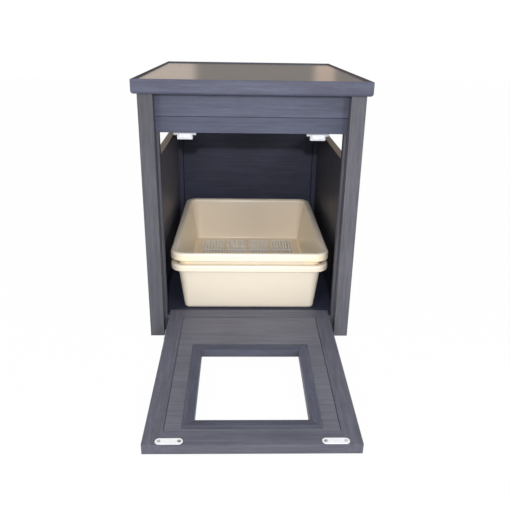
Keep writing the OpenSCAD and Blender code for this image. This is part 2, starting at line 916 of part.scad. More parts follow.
post_front_left();
post_front_right();
post_rear_left();
post_rear_right();
front_rail_upper();
front_rail_lower();
jamb_left();
jamb_right();
side_rail_top_left();
side_rail_top_right();
side_rail_base_left();
side_rail_base_right();
side_panel_left();
side_panel_right();
back_rail_top();
back_rail_base();
back_panel();
floor_panel();
floor_batten_left();
floor_batten_right();
floor_batten_front();
top_core();
top_inset();
top_edge_front();
top_edge_rear();
top_edge_left();
top_edge_right();
frame_dowels();
door_stile_left();
door_stile_right();
door_rail_free();
door_rail_hinge();
door_panel();
door_dowels();
window_trim_free();
window_trim_hinge();
window_trim_left();
window_trim_right();
strike_plate_left();
strike_plate_right();
strike_screws();
hinge_pin_left();
hinge_pin_right();
hinge_bush_left();
hinge_bush_right();
catch_body_left();
catch_body_right();
catch_magnets();
catch_poles();
catch_screws();
litter_pan();
sifting_tray();
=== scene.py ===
"""Litter box cabinet with its door folded down: finishes, fine shapes, camera and light."""

import logging
import math
from collections.abc import Iterable, Mapping, Sequence
from dataclasses import dataclass, field
from enum import Enum

import bmesh
import bpy
from mathutils import Matrix, Vector


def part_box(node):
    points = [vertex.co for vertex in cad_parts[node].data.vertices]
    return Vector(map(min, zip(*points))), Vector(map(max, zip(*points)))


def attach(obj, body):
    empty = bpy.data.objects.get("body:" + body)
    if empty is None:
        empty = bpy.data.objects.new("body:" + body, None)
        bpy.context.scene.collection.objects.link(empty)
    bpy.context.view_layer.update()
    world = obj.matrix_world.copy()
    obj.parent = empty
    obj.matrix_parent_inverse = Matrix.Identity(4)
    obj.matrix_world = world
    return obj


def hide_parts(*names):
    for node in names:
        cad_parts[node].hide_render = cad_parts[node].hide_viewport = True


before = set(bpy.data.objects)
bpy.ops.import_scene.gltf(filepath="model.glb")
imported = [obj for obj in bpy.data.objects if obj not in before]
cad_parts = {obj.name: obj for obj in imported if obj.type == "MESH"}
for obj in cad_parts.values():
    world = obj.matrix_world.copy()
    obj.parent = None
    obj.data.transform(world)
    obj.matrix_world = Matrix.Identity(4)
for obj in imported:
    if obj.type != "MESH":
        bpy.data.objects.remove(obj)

LOG = logging.getLogger("litter_cabinet")
MM = 0.001
Colour = tuple[float, float, float]
Point = tuple[float, float, float]
Flat = tuple[float, float]
Span = tuple[float, float]
Loop = list[bmesh.types.BMVert]

FACE_WEIGHT = 90
WELD_WITHIN = 0.001 * MM
BEVEL_FROM = math.radians(50)
SHARP_FROM = math.radians(38)


# ---- shader building ---------------------------------------------------------


@dataclass(frozen=True)
class Layer:
    """A layer of noise, and what it does to a finish.

    Attributes:
        scale: Its cells for each unit of length.
        detail: Its octaves.
        rough: How strong the finer octaves are.
        tone: Its share in the drift between two tones.
        sheen: How far it moves the roughness.
        height: Its share in the bump.
    """

    scale: float
    detail: float = 2.0
    rough: float = 0.5
    tone: float = 0.0
    sheen: float = 0.0
    height: float = 0.0


@dataclass(frozen=True)
class Wire:
    """A node's output that takes part in Python sums, adding Math nodes as it goes."""

    shader: "Shader"
    socket: bpy.types.NodeSocket

    def out(self, name: str | int) -> "Wire":
        """Another output of the same node.

        Args:
            name: The output's name or place.

        Returns:
            The wire that leaves it.
        """
        return Wire(self.shader, self.socket.node.outputs[name])

    def _math(self, operation: str, *values: "Wire | float", clamp: bool = False) -> "Wire":
        """Adds a Math node.

        Args:
            operation: The Math node's operation.
            values: Its inputs, in order.
            clamp: Whether the result is held between 0 and 1.

        Returns:
            The result.
        """
        settings = {"operation": operation, "use_clamp": clamp}
        return self.shader.node("ShaderNodeMath", dict(enumerate(values)), settings)

    def __add__(self, other: "Wire | float") -> "Wire":
        """Sum."""
        return self._math("ADD", self, other)

    def __radd__(self, other: float) -> "Wire":
        """Sum with a number on the left."""
        return self._math("ADD", other, self)

    def __sub__(self, other: "Wire | float") -> "Wire":
        """Difference."""
        return self._math("SUBTRACT", self, other)

    def __rsub__(self, other: float) -> "Wire":
        """Difference with a number on the left."""
        return self._math("SUBTRACT", other, self)

    def __mul__(self, other: "Wire | float") -> "Wire":
        """Product."""
        return self._math("MULTIPLY", self, other)

    def __truediv__(self, other: "Wire | float") -> "Wire":
        """Quotient."""
        return self._math("DIVIDE", self, other)

    def size(self) -> "Wire":
        """The value without its sign."""
        return self._math("ABSOLUTE", self)

    def fraction(self) -> "Wire":
        """What the value has after its whole number."""
        return self._math("FRACT", self)

    def at_least(self, low: float) -> "Wire":
        """The value, or low where it is smaller."""
        return self._math("MAXIMUM", self, low)

    def swing(self, reach: float) -> "Wire":
        """A noise turned into a change around zero, as wide as reach."""
        return (self - 0.5) * reach

    def clamped(self) -> "Wire":
        """The value held between 0 and 1."""
        return self._math("ADD", self, 0.0, clamp=True)

    def ramp(self, low: float, high: float) -> "Wire":
        """A smooth step.

        Args:
            low: Where the step starts.
            high: Where the step ends.

        Returns:
            0 at low, 1 at high, smooth between them.
        """
        settings = {"interpolation_type": "SMOOTHSTEP"}
        sockets = {"Value": self, "From Min": low, "From Max": high}
        return self.shader.node("ShaderNodeMapRange", sockets, settings)


class Shader:
    """One node tree, of a material or of the world."""

    def __init__(self, owner: bpy.types.Material | bpy.types.World) -> None:
        """Empties the owner's node tree.

        Args:
            owner: The material or world to build.
        """
        owner.use_nodes = True
        self.tree = owner.node_tree
        self.tree.nodes.clear()

    def node(
        self,
        kind: str,
        sockets: Mapping[str | int, object] | None = None,
        settings: Mapping[str, object] | None = None,
    ) -> Wire:
        """Adds a node.

        Args:
            kind: The node's type.
            sockets: Values or wires for its inputs, by name or place.
            settings: Its settings, such as an operation, set before the inputs.

        Returns:
            The wire that leaves its first output.
        """
        made = self.tree.nodes.new(kind)
        for name, value in (settings or {}).items():
            setattr(made, name, value)
        for name, value in (sockets or {}).items():
            if isinstance(value, Wire):
                self.tree.links.new(value.socket, made.inputs[name])
            else:
                made.inputs[name].default_value = value
        return Wire(self, made.outputs[0])

    def end(self, kind: str, surface: Wire) -> None:
        """Ends the tree in an output node.

        Args:
            kind: The node's type.
            surface: What it shows.
        """
        self.tree.links.new(surface.socket, self.tree.nodes.new(kind).inputs["Surface"])

    def place(self, turn: Point = (0.0, 0.0, 0.0), scale: Point = (1.0, 1.0, 1.0)) -> Wire:
        """Coordinates in the cabinet's own space, in metres.

        Args:
            turn: Rotation in radians.
            scale: Stretch of each axis.

        Returns:
            The coordinates.
        """
        here = self.node("ShaderNodeTexCoord").out("Object")
        sockets = {"Vector": here, "Rotation": turn, "Scale": scale}
        return self.node("ShaderNodeMapping", sockets)

    def axes(self, at: Wire) -> tuple[Wire, Wire, Wire]:
        """The three numbers of a vector.

        Args:
            at: The vector.

        Returns:
            Its x, y and z.
        """
        x = self.node("ShaderNodeSeparateXYZ", {0: at})
        return x, x.out(1), x.out(2)

    def noise(self, at: Wire, layer: Layer) -> Wire:
        """Noise between 0 and 1.

        Args:
            at: Where it is read.
            layer: Its kind.

        Returns:
            The noise.
        """
        sockets = {"Scale": layer.scale, "Detail": layer.detail, "Roughness": layer.rough}
        return self.node("ShaderNodeTexNoise", sockets | {"Vector": at})

    def blend(self, share: Wire, first: Colour | Wire, second: Colour | Wire) -> Wire:
        """A colour between two colours.

        Args:
            share: How much of the second colour is in it.
            first: One colour.
            second: The other colour.

        Returns:
            The colour.
        """
        a, b = (c if isinstance(c, Wire) else (*c, 1.0) for c in (first, second))
        sockets = {0: share, 6: a, 7: b}
        return self.node("ShaderNodeMix", sockets, {"data_type": "RGBA"}).out(2)

    def bump(self, height: Wire, metres: float) -> Wire:
        """A normal that follows a height.

        Args:
            height: The height, from 0 to 1.
            metres: What a height of 1 stands for.

        Returns:
            The normal.
        """
        sockets = {"Height": height, "Distance": metres, "Strength": 1.0}
        return self.node("ShaderNodeBump", sockets)


# ---- finishes ----------------------------------------------------------------

TONES: Span = (0.3, 0.7)


class Along(Enum):
    """The way a board's grain runs, as turns that bring it onto x."""

    WIDTH = (0.0, 0.0, 0.0)
    DEPTH = (0.0, 0.0, -math.pi / 2)
    HEIGHT = (0.0, math.pi / 2, 0.0)

    @classmethod
    def level(cls, node: str) -> "Along":
        """The way a level board's grain runs.

        Args:
            node: The board's name.

        Returns:
            From front to rear at the left and right, and across elsewhere.
        """
        return cls.DEPTH if node.endswith(("_left", "_right")) else cls.WIDTH


def toned(colour: Colour, by: float) -> Colour:
    """A colour made lighter or darker.

    Args:
        colour: The colour.
        by: What each of its numbers is multiplied by.

    Returns:
        The new colour.
    """
    return tuple(c * by for c in colour)


@dataclass(frozen=True)
class Finish:
    """What every finish has: a name, a main colour and the way its material is made."""

    name: str
    colour: Colour

    def sockets(self, s: Shader) -> dict[str, object]:
        """What the finish gives to the Principled node.

        Args:
            s: The material's shader.

        Returns:
            Values and wires, by the names of the node's inputs.
        """
        raise NotImplementedError

    def material(self) -> bpy.types.Material:
        """Builds the finish.

        Returns:
            The material.
        """
        made = bpy.data.materials.new(self.name)
        s = Shader(made)
        shaded = s.node("ShaderNodeBsdfPrincipled", self.sockets(s))
        s.end("ShaderNodeOutputMaterial", shaded)
        return made


@dataclass(frozen=True)
class BoardFinish(Finish):
    """Satin wood-grain composite with fine lines along the board.

    Faces inside the cabinet may have another colour, which is painted light and shade:
    mostly darker, and lighter on the side panels. A cut upper edge may have a raw colour.
    The spans of the inside are where smooth steps start and end.
    """

    along: Along
    tilt: float
    # inside: painted light and shade for faces inside the cabinet.
    inside: Colour | None
    cut_z: float | None
    cut: Colour
    streak: float = 0.27
    roughness: float = 0.5
    specular: float = 0.3
    relief: float = 0.22 * MM
    line_stretch: float = 0.05
    fleck_stretch: float = 0.14
    band: Layer = Layer(150.0, tone=0.42)
    line: Layer = Layer(620.0, rough=0.6, tone=0.38, sheen=0.14, height=0.7)
    fleck: Layer = Layer(1500.0, detail=1.0, tone=0.12, height=0.3)
    cloud: Layer = Layer(7.0, detail=3.0, tone=0.24, sheen=0.16)
    grain_drop: float = 0.08
    grain_range: Span = (0.28, 0.72)
    inside_half: Span = (0.208, 0.212)
    inside_front: Span = (-0.086, -0.060)
    inside_rear: Span = (0.4675, 0.4695)
    inside_top: Span = (0.515, 0.525)
    cut_below: Span = (1.5 * MM, 0.7 * MM)

    def painted_inside_mask(self, s: Shader) -> Wire:
        """Where a face looks into the cabinet and gets the painted light and shade.

        Args:
            s: The material's shader.

        Returns:
            1 inside, 0 outside.
        """
        x, y, z = s.axes(s.place())
        sides = 1.0 - x.size().ramp(*self.inside_half)
        depth = y.ramp(*self.inside_front) * (1.0 - y.ramp(*self.inside_rear))
        return sides * depth * (1.0 - z.ramp(*self.inside_top))

    def tint(self, s: Shader, grain: Wire, colour: Colour) -> Wire:
        """A colour with the grain's lines in it.

        Args:
            s: The material's shader.
            grain: The grain, from 0 to 1.
            colour: The colour between its lines.

        Returns:
            The colour.
        """
        dark, light = toned(colour, 1.0 - self.streak), toned(colour, 1.0 + self.streak)
        return s.blend(grain, dark, light)

    def sockets(self, s: Shader) -> dict[str, object]:
        """See Finish."""
        turned = s.place(turn=(self.tilt, 0.0, 0.0))
        turn = {"Vector": turned, "Rotation": self.along.value}
        here = s.node("ShaderNodeMapping", turn)
        long, short = (
            s.node("ShaderNodeMapping", {"Vector": here, "Scale": (by, 1.0, 1.0)})
            for by in (self.line_stretch, self.fleck_stretch)
        )
        band, line = s.noise(long, self.band), s.noise(long, self.line)
        fleck, cloud = s.noise(short, self.fleck), s.noise(here, self.cloud)
        grain = band * self.band.tone + line * self.line.tone
        grain = grain + fleck * self.fleck.tone + cloud * self.cloud.tone
        lines = (grain - self.grain_drop).clamped().ramp(*self.grain_range)
        shade = self.tint(s, lines, self.colour)
        # Faces inside the cabinet get the inside colour: painted light and shade.
        if self.inside:
            shade = s.blend(self.painted_inside_mask(s), shade, self.tint(s, lines, self.inside))
        if self.cut_z:
            z = s.axes(s.place())[2]
            raw = z.ramp(*(self.cut_z - below for below in self.cut_below))
            shade = s.blend(raw, shade, self.tint(s, lines, self.cut))
        sheen = self.roughness + cloud.swing(self.cloud.sheen) + line.swing(self.line.sheen)
        height = line * self.line.height + fleck * self.fleck.height
        return {
            "Base Color": shade,
            "Roughness": sheen,
            "Normal": s.bump(height, self.relief),
            "Specular IOR Level": self.specular,
        }


@dataclass(frozen=True)
class GlossLaminate(Finish):
    """Hard glossy laminate on the panel that lies in the top."""

    roughness: float = 0.13
    ior: float = 1.48
    contrast: float = 0.1
    relief: float = 0.03 * MM
    line_stretch: float = 0.06
    line: Layer = Layer(320.0, detail=3.0, rough=0.6, sheen=0.03)
    cloud: Layer = Layer(5.0, sheen=0.06)
    wave: Layer = Layer(60.0)

    def sockets(self, s: Shader) -> dict[str, object]:
        """See Finish."""
        here = s.place()
        long = s.place(scale=(self.line_stretch, 1.0, 1.0))
        cloud, line = s.noise(here, self.cloud), s.noise(long, self.line)
        dark = toned(self.colour, 1.0 - self.contrast)
        light = toned(self.colour, 1.0 + self.contrast)
        sheen = self.roughness + cloud.swing(self.cloud.sheen) + line * self.line.sheen
        return {
            "Base Color": s.blend(line.ramp(*TONES), dark, light),
            "Roughness": sheen,
            "Normal": s.bump(s.noise(here, self.wave), self.relief),
            "IOR": self.ior,
        }


@dataclass(frozen=True)
class MouldedPlastic(Finish):
    """Injection-moulded plastic with a soft sheen, slight tone drift and a fine skin."""

    deep: Colour
    roughness: float
    skin: float = 0.02 * MM
    ior: float = 1.5
    coat: float = 0.35
    coat_roughness: float = 0.16
    flow_stretch: float = 0.2
    drift: Layer = Layer(6.0, detail=3.0, tone=0.85)
    flow: Layer = Layer(45.0, tone=0.15, sheen=0.05, height=0.2)
    fine: Layer = Layer(1400.0, sheen=0.06, height=0.8)

    def paint(self, s: Shader, tone: Wire) -> Wire:
        """The plastic's colour.

        Args:
            s: The material's shader.
            tone: The drift between its two tones.

        Returns:
            The colour.
        """
        return s.blend(tone, self.colour, self.deep)

    def sockets(self, s: Shader) -> dict[str, object]:
        """See Finish."""
        here = s.place()
        drift, fine = s.noise(here, self.drift), s.noise(here, self.fine)
        flow = s.noise(s.place(scale=(1.0, 1.0, self.flow_stretch)), self.flow)
        tone = (drift * self.drift.tone + flow * self.flow.tone).ramp(*TONES)
        sheen = self.roughness + flow.swing(self.flow.sheen) + fine.swing(self.fine.sheen)
        height = fine * self.fine.height + flow * self.flow.height
        return {
            "Base Color": self.paint(s, tone),
            "Roughness": sheen,
            "Normal": s.bump(height, self.skin),
            "IOR": self.ior,
            "Coat Weight": self.coat,
            "Coat Roughness": self.coat_roughness,
        }


@dataclass(frozen=True)
class SlottedPlastic(MouldedPlastic):
    """A slotted tray's plastic with painted light and shade: a painted highlight on the
    strips between the slots, painted warm shade on the floor, painted warm light on the
    side walls and painted shade on the rear wall.
    """

    # Painted highlight on the strips between the slots.
    pale: Colour = (0.97, 0.94, 0.89)
    # Painted warm shade on the tray's floor.
    floor_warm_shade: Colour = (0.92, 0.77, 0.57)
    # Painted shade on the rear wall.
    rear: Colour = (0.81, 0.69, 0.545)
    # Painted warm light on the side walls.
    flank: Colour = (0.97, 0.85, 0.63)
    top_z: float = 0.0
    middle_y: float = 0.0
    floor_z: float = 0.0
    pitch: float = 66 * MM
    strips: Span = (0.43, 0.46)
    field: Span = (0.132, 0.186)
    field_soft: float = 1 * MM
    floor_soft: Span = (0.3 * MM, 0.8 * MM)
    rim_drop: Span = (10 * MM, 3 * MM)
    flank_light_from: Span = (0.115, 0.14)
    rear_shade_from: Span = (0.17, 0.195)

    def paint(self, s: Shader, tone: Wire) -> Wire:
        """See MouldedPlastic: here the walls, floor and strips get painted light and shade.
        """
        x, y, z = s.axes(s.place())
        half_x, half_y = self.field
        along = y - self.middle_y
        # The strips between the slots, where the painted highlight goes.
        strip_highlight_mask = 1.0 - ((x / self.pitch).fraction() - 0.5).size().ramp(*self.strips)
        field_x = 1.0 - x.size().ramp(half_x - self.field_soft, half_x)
        field_y = 1.0 - along.size().ramp(half_y - self.field_soft, half_y)
        low = 1.0 - z.ramp(*(self.floor_z + soft for soft in self.floor_soft))
        walls = 1.0 - z.ramp(*(self.top_z - drop for drop in self.rim_drop))
        plain = s.blend(tone, self.colour, self.deep)
        # Below the rim: painted warm light on the side walls, painted shade on the rear
        # wall, then painted warm shade on the floor.
        plain = s.blend(x.size().ramp(*self.flank_light_from) * walls, plain, self.flank)
        plain = s.blend(along.ramp(*self.rear_shade_from) * walls, plain, self.rear)
        plain = s.blend(low, plain, self.floor_warm_shade)
        return s.blend(strip_highlight_mask * field_x * field_y * low, plain, self.pale)


@dataclass(frozen=True)
class Metal(Finish):
    """Bright plated or dark sintered metal, brushed along x."""

    roughness: float
    metallic: float = 1.0
    brush: float = 0.05
    line: Layer = Layer(2400.0, tone=0.5, sheen=0.18)
    cloud: Layer = Layer(160.0, detail=3.0, tone=0.5, sheen=0.12)
    dulling: float = 0.86
    relief: float = 0.02 * MM

    def sockets(self, s: Shader) -> dict[str, object]:
        """See Finish."""
        long = s.place(scale=(self.brush, 1.0, 1.0))
        line, cloud = s.noise(long, self.line), s.noise(s.place(), self.cloud)
        wear = (line * self.line.tone + cloud * self.cloud.tone).ramp(*TONES)
        dull = toned(self.colour, self.dulling)
        sheen = self.roughness + line.swing(self.line.sheen) + cloud.swing(self.cloud.sheen)
        return {
            "Base Color": s.blend(wear, self.colour, dull),
            "Roughness": sheen,
            "Normal": s.bump(line, self.relief),
            "Metallic": self.metallic,
        }


@dataclass(frozen=True)
class PlainBeech(Finish):
    """Unfinished beech, for dowels."""

    roughness: float = 0.7
    line_stretch: float = 0.1
    line: Layer = Layer(900.0, detail=3.0, sheen=0.2)
    line_range: Span = (0.35, 0.7)
    darkening: float = 0.75
    relief: float = 0.1 * MM

    def sockets(self, s: Shader) -> dict[str, object]:
        """See Finish."""
        line = s.noise(s.place(scale=(self.line_stretch, 1.0, 1.0)), self.line)
        dark = toned(self.colour, self.darkening)
        return {
            "Base Color": s.blend(line.ramp(*self.line_range), self.colour, dark),
            "Roughness": self.roughness + line.swing(self.line.sheen),
            "Normal": s.bump(line, self.relief),
        }


# ---- mesh building -----------------------------------------------------------


def turns(whole: float, steps: int, first: int = 0) -> list[float]:
    """Angles in equal steps.

    Args:
        whole: The last angle.
        steps: How many steps lead to it from 0.
        first: The step to begin at.

    Returns:
        The angles.
    """
    return [whole * i / steps for i in range(first, steps + 1)]


@dataclass(frozen=True)
class Ring:
    """A level loop with round corners, for lofting."""

    half_x: float
    half_y: float
    corner: float
    z: float

    def points(self, steps: int) -> list[Point]:
        """The loop's corner points.

        Args:
            steps: Segments in each corner.

        Returns:
            The points, counter-clockwise from above.
        """
        made = []
        for quarter in range(4):
            sx = 1 if quarter in (0, 3) else -1
            sy = 1 if quarter in (0, 1) else -1
            cx, cy = sx * (self.half_x - self.corner), sy * (self.half_y - self.corner)
            for step in range(steps + 1):
                a = math.pi / 2 * (quarter + step / steps)
                made.append(
                    (cx + self.corner * math.cos(a), cy + self.corner * math.sin(a), self.z)
                )
        return made


class Draft:
    """A mesh in the making, in metres."""

    def __init__(self) -> None:
        """Starts an empty mesh."""
        self.mesh = bmesh.new()

    def loop(self, points: Iterable[Sequence[float]]) -> Loop:
        """Adds loose points.

        Args:
            points: Their places.

        Returns:
            The new points, in order.
        """
        return [self.mesh.verts.new(Vector(p)) for p in points]

    def level(self, outline: Iterable[Sequence[float]], z: float) -> Loop:
        """Adds loose points at one height.

        Args:
            outline: Their places from above.
            z: Their height.

        Returns:
            The new points, in order.
        """
        return self.loop((x, y, z) for x, y in outline)

    def skin(self, *loops: Loop, closed: bool = True) -> None:
        """Joins each loop to the next one, of the same length, with a band of faces.

        Args:
            loops: The loops, in order.
            closed: Whether the bands go all the way round.
        """
        for first, second in zip(loops, loops[1:]):
            count = len(first)
            for i in range(count if closed else count - 1):
                j = (i + 1) % count
                self.mesh.faces.new((first[i], first[j], second[j], second[i]))

    def prism(self, outline: Sequence[Flat], low: float, high: float, soft: float) -> None:
        """Adds an upright prism with softened upper and lower arrises.

        Args:
            outline: Its corners from above, counter-clockwise.
            low: Height of its underside.
            high: Height of its upper face.
            soft: Size of the softened arris.
        """
        middle = Vector([sum(along) for along in zip(*outline)]) / len(outline)
        inner = []
        for x, y in outline:
            way = middle - Vector((x, y))
            inner.append(Vector((x, y)) + way.normalized() * soft)
        rows = ((inner, low), (outline, low + soft), (outline, high - soft), (inner, high))
        loops = [self.level(corners, z) for corners, z in rows]
        self.skin(*loops)
        self.mesh.faces.new(list(reversed(loops[0])))
        self.mesh.faces.new(loops[-1])

    def finish(
        self,
        name: str,
        material: bpy.types.Material,
        place: Matrix = Matrix.Identity(4),
    ) -> bpy.types.Object:
        """Turns the draft into a piece.

        Args:
            name: The piece's name.
            material: Its finish.
            place: Where the draft's own frame lies.

        Returns:
            The piece.
        """
        bmesh.ops.recalc_face_normals(self.mesh, faces=self.mesh.faces)
        for face in self.mesh.faces:
            face.smooth = True
        for edge in self.mesh.edges:
            bent = len(edge.link_faces) != 2 or edge.calc_face_angle(0.0) > SHARP_FROM
            edge.smooth = not bent
        data = bpy.data.meshes.new(name)
        self.mesh.to_mesh(data)
        self.mesh.free()
        data.transform(place)
        data.materials.append(material)
        piece = bpy.data.objects.new(name, data)
        bpy.context.scene.collection.objects.link(piece)
        weigh(piece)
        return piece


def weigh(piece: bpy.types.Object) -> None:
    """Lets large faces set the shading normals, so that flats stay flat.

    Args:
        piece: The piece to shade.
    """
    made = piece.modifiers.new("flat_faces", "WEIGHTED_NORMAL")
    made.keep_sharp = True
    made.weight = FACE_WEIGHT


def dress(
    node: str, material: bpy.types.Material, arris: float = 0.0, segments: int = 2
) -> None:
    """Puts a finish on a carried-over solid, and rounds its arrises.

    Args:
        node: The solid's name.
        material: Its finish.
        arris: Size of the rounding, or 0 for none.
        segments: Faces across the rounding.
    """
    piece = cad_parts[node]
    piece.data.materials.clear()
    piece.data.materials.append(material)
    if not arris:
        return
    weld = piece.modifiers.new("weld", "WELD")
    weld.merge_threshold = WELD_WITHIN
    bevel = piece.modifiers.new("arris", "BEVEL")
    bevel.width = arris
    bevel.segments = segments
    bevel.limit_method = "ANGLE"
    bevel.angle_limit = BEVEL_FROM
    bevel.use_clamp_overlap = True
    bevel.miter_outer = "MITER_ARC"
    weigh(piece)


def add(piece: bpy.types.Object, body: str, slot: str, *nodes: str) -> None:
    """Hangs a new piece on the body that carries it, and hides the solids that it stands
    for.

    Args:
        piece: The piece.
        body: The body that it rides on.
        slot: Not used.
        nodes: The solids that it stands for.
    """
    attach(piece, body)
    if nodes:
        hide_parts(*nodes)
    LOG.info("%s rides on %s", piece.name, body)


# ---- the cabinet -------------------------------------------------------------


class Side(Enum):
    """Left or right, seen from the front."""

    LEFT = -1
    RIGHT = 1

    @property
    def word(self) -> str:
        """The side's name, as it ends a solid's name."""
        return self.name.lower()


@dataclass
class Palette:
    """Every finish of the cabinet, made once."""

    top: Colour = (0.093, 0.098, 0.146)
    lip: Colour = (0.060, 0.056, 0.046)
    rail: Colour = (0.082, 0.089, 0.134)
    low_rail: Colour = (0.066, 0.073, 0.113)
    # Posts: painted light, the right ones lighter than the left.
    post_left_painted_shade: Colour = (0.088, 0.088, 0.106)
    post_right_painted_light: Colour = (0.107, 0.106, 0.127)
    door: Colour = (0.108, 0.111, 0.142)
    panel: Colour = (0.136, 0.137, 0.167)
    trim: Colour = (0.078, 0.082, 0.116)
    # Faces inside the cabinet: painted shade, darker than the same boards outside.
    inner: Colour = (0.039, 0.043, 0.074)
    # Inner faces of the side panels: painted light, the left one much lighter than the
    # right.
    inner_left_painted_light: Colour = (0.125, 0.118, 0.142)
    inner_right_painted_light: Colour = (0.056, 0.056, 0.070)
    made: dict[str, bpy.types.Material] = field(default_factory=dict)

    def board(
        self,
        colour: Colour,
        along: Along,
        tilt: float = 0.0,
        inside: Colour | None = None,
        cut_z: float | None = None,
        cut: Colour = (0.20, 0.155, 0.120),
    ) -> bpy.types.Material:
        """A board's finish, shared between boards that run the same way.

        Args:
            colour: The board's colour.
            along: The way its grain runs.
            tilt: How far the board lies turned about x.
            inside: Its painted light and shade on faces inside the cabinet.
            cut_z: Height of a cut upper edge.
            cut: The colour of that edge.

        Returns:
            The material.
        """
        shade = "_".join(f"{round(c * 1000):03d}" for c in (*colour, *(inside or ())))
        name = f"board_{along.name.lower()}_{shade}"
        name += ("_door" if tilt else "") + ("_edged" if cut_z else "")
        return self.one(BoardFinish(name, colour, along, tilt, inside, cut_z, cut))

    def one(self, finish: Finish) -> bpy.types.Material:
        """A finish that is made the first time it is asked for.

        Args:
            finish: The finish.

        Returns:
            The material.
        """
        if finish.name not in self.made:
            self.made[finish.name] = finish.material()
        return self.made[finish.name]


BEIGE = MouldedPlastic("tray_plastic", (0.905, 0.815, 0.675), (0.885, 0.790, 0.645), 0.38)
WHITE = MouldedPlastic("catch_plastic", (0.65, 0.66, 0.72), (0.62, 0.63, 0.69), 0.35)
NYLON = MouldedPlastic("bush_plastic", (0.13, 0.13, 0.135), (0.11, 0.11, 0.115), 0.6)
ZINC = Metal("plated_steel", (0.80, 0.82, 0.85), 0.28)
SATIN = Metal("satin_steel", (0.97, 0.98, 1.0), 0.45, metallic=0.15)
STEEL = Metal("dark_steel", (0.20, 0.20, 0.21), 0.45, metallic=0.6)
NICKEL = Metal("nickel", (0.80, 0.81, 0.84), 0.35, metallic=0.5)
BEECH = PlainBeech("beech", (0.62, 0.46, 0.29))
LAMINATE = GlossLaminate("gloss_laminate", (0.115, 0.112, 0.110))


@dataclass
class Carcass:
    """Posts, rails, panels, floor and top of the cabinet."""

    palette: Palette
    arris: float = 0.8 * MM
    inset_arris: float = 0.4 * MM

    def rails(self) -> None:
        """Dresses the front rails and the bars around the top."""
        p = self.palette
        for level, colour in (("upper", p.rail), ("lower", p.low_rail)):
            node = f"front_rail_{level}"
            dress(node, p.board(colour, Along.level(node)), self.arris)
        for node in ("top_edge_front", "top_edge_rear", "top_edge_left", "top_edge_right"):
            lip = None if node == "top_edge_front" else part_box(node)[1].z
            board = p.board(p.top, Along.level(node), cut_z=lip, cut=p.lip)
            dress(node, board, self.arris)

    def inner_boards(self) -> None:
        """Dresses the boards that mostly face into the cabinet."""
        p = self.palette
        for node in (
            "side_rail_top_left",
            "side_rail_top_right",
            "side_rail_base_left",
            "side_rail_base_right",
            "back_rail_top",
            "back_rail_base",
            "back_panel",
            "floor_panel",
            "floor_batten_left",
            "floor_batten_right",
            "floor_batten_front",
            "top_core",
        ):
            # Their faces inside the cabinet get the inner colour: painted shade.
            board = p.board(p.rail, Along.level(node), inside=p.inner)
            dress(node, board, self.arris)

    def side(self, side: Side, outer: Colour, inner: Colour) -> None:
        """Dresses one side's posts, jamb and panel.

        Args:
            side: The side.
            outer: Its posts' colour, with painted light: the right posts lighter than the
                left.
            inner: Its panel's colour inside the cabinet: painted light, the left panel much
                lighter.
        """
        p = self.palette
        board = p.board(outer, Along.HEIGHT, inside=p.inner)
        for part in ("post_front", "post_rear", "jamb"):
            dress(f"{part}_{side.word}", board, self.arris)
        node = f"side_panel_{side.word}"
        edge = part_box(node)[1].z
        board = p.board(p.rail, Along.HEIGHT, inside=inner, cut_z=edge)
        dress(node, board, self.arris)

    def build(self) -> None:
        """Dresses every board of the cabinet."""
        p = self.palette
        self.rails()
        self.inner_boards()
        self.side(Side.LEFT, p.post_left_painted_shade, p.inner_left_painted_light)
        self.side(Side.RIGHT, p.post_right_painted_light, p.inner_right_painted_light)
        dress("top_inset", p.one(LAMINATE), self.inset_arris)
        dress("frame_dowels", p.one(BEECH))
        LOG.info("carcass dressed")


# Each window moulding bar lighter or darker: painted light and shade, the right bar
# lightest, the free and hinge bars darkest.
TRIM_PAINTED_SHADING = {
    "window_trim_free": 0.93,
    "window_trim_hinge": 0.90,
    "window_trim_left": 0.99,
    "window_trim_right": 1.11,
}


@dataclass
class Door:
    """The fold-down door: frame, panel, window moulding and strike plates."""

    palette: Palette
    slope: float = math.radians(2.854076)
    arris: float = 0.8 * MM
    metal_arris: float = 0.3 * MM
    bush_arris: float = 0.2 * MM

    def build(self) -> None:
        """Dresses the door's boards, plates and pins."""
        p = self.palette
        frame_boards = ("stile_left", "stile_right", "rail_free", "rail_hinge")
        boards = {f"door_{part}": p.door for part in frame_boards}
        boards["door_panel"] = p.panel
        # Each window moulding bar gets its own painted light and shade.
        boards |= {node: toned(p.trim, by) for node, by in TRIM_PAINTED_SHADING.items()}
        for node, colour in boards.items():
            dress(node, p.board(colour, Along.level(node), self.slope), self.arris)
        for side in Side:
            dress(f"strike_plate_{side.word}", p.one(SATIN), self.metal_arris)
            dress(f"hinge_pin_{side.word}", p.one(STEEL), self.metal_arris)
            dress(f"hinge_bush_{side.word}", p.one(NYLON), self.bush_arris)
        dress("strike_screws", p.one(ZINC))
        dress("door_dowels", p.one(BEECH))
        LOG.info("door dressed")


@dataclass
class Catches:
    """The two magnetic catches under the lower front rail."""

    palette: Palette
    arris: float = 0.9 * MM

    def build(self) -> None:
        """Dresses the catches."""
        p = self.palette
        for side in Side:
            dress(f"catch_body_{side.word}", p.one(WHITE), self.arris, segments=3)
        dress("catch_magnets", p.one(NICKEL))
        dress("catch_poles", p.one(NICKEL))
        dress("catch_screws", p.one(ZINC))
        LOG.info("catches dressed")


# ---- the trays ---------------------------------------------------------------


